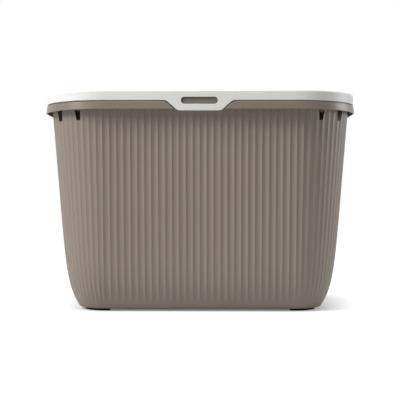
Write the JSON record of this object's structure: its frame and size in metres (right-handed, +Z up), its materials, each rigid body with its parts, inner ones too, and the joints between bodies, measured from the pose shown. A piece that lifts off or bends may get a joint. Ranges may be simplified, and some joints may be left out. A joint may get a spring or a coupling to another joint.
{
  "type": "top entry litter box",
  "caption": "Tall fluted tub on rubber pads with a clipped rim frame and a rear-hinged lid that holds a slotted lift-out panel with the entry hole.",
  "frame": {"origin": "floor point under the middle of the whole box, hinges included", "axes": "+Z up, the front with the tab faces -Y, +X along the length to the entry hole's end"},
  "size_m": [0.58, 0.4016, 0.4],
  "materials": {
    "tub_mocha": "satin moulded polypropylene",
    "rim_mocha": "smooth, glossier than the tub",
    "lid_white": "fine satin",
    "panel_white": "fine satin",
    "pin_mocha": "smooth",
    "pad_rubber": "matt"
  },
  "bodies": {
    "base": {"tub": "tub_mocha", "rim_frame": "rim_mocha", "hinge_pin_left": "pin_mocha", "hinge_pin_right": "pin_mocha", "foot_front_left": "pad_rubber", "foot_front_right": "pad_rubber", "foot_rear_left": "pad_rubber", "foot_rear_right": "pad_rubber"},
    "lid": {"lid": "lid_white"},
    "tread_panel": {"tread_panel": "panel_white"}
  },
  "joints": [
    {"name": "lid_hinge", "type": "hinge", "parent": "base", "child": "lid", "pos_m": [0, 0.196, 0.379], "axis": [-1, 0, 0], "range_deg": [0, 105]},
    {"name": "panel_lift", "type": "slide", "parent": "lid", "child": "tread_panel", "axis": [0, 0, 1], "range_m": [0, 0.08]}
  ]
}
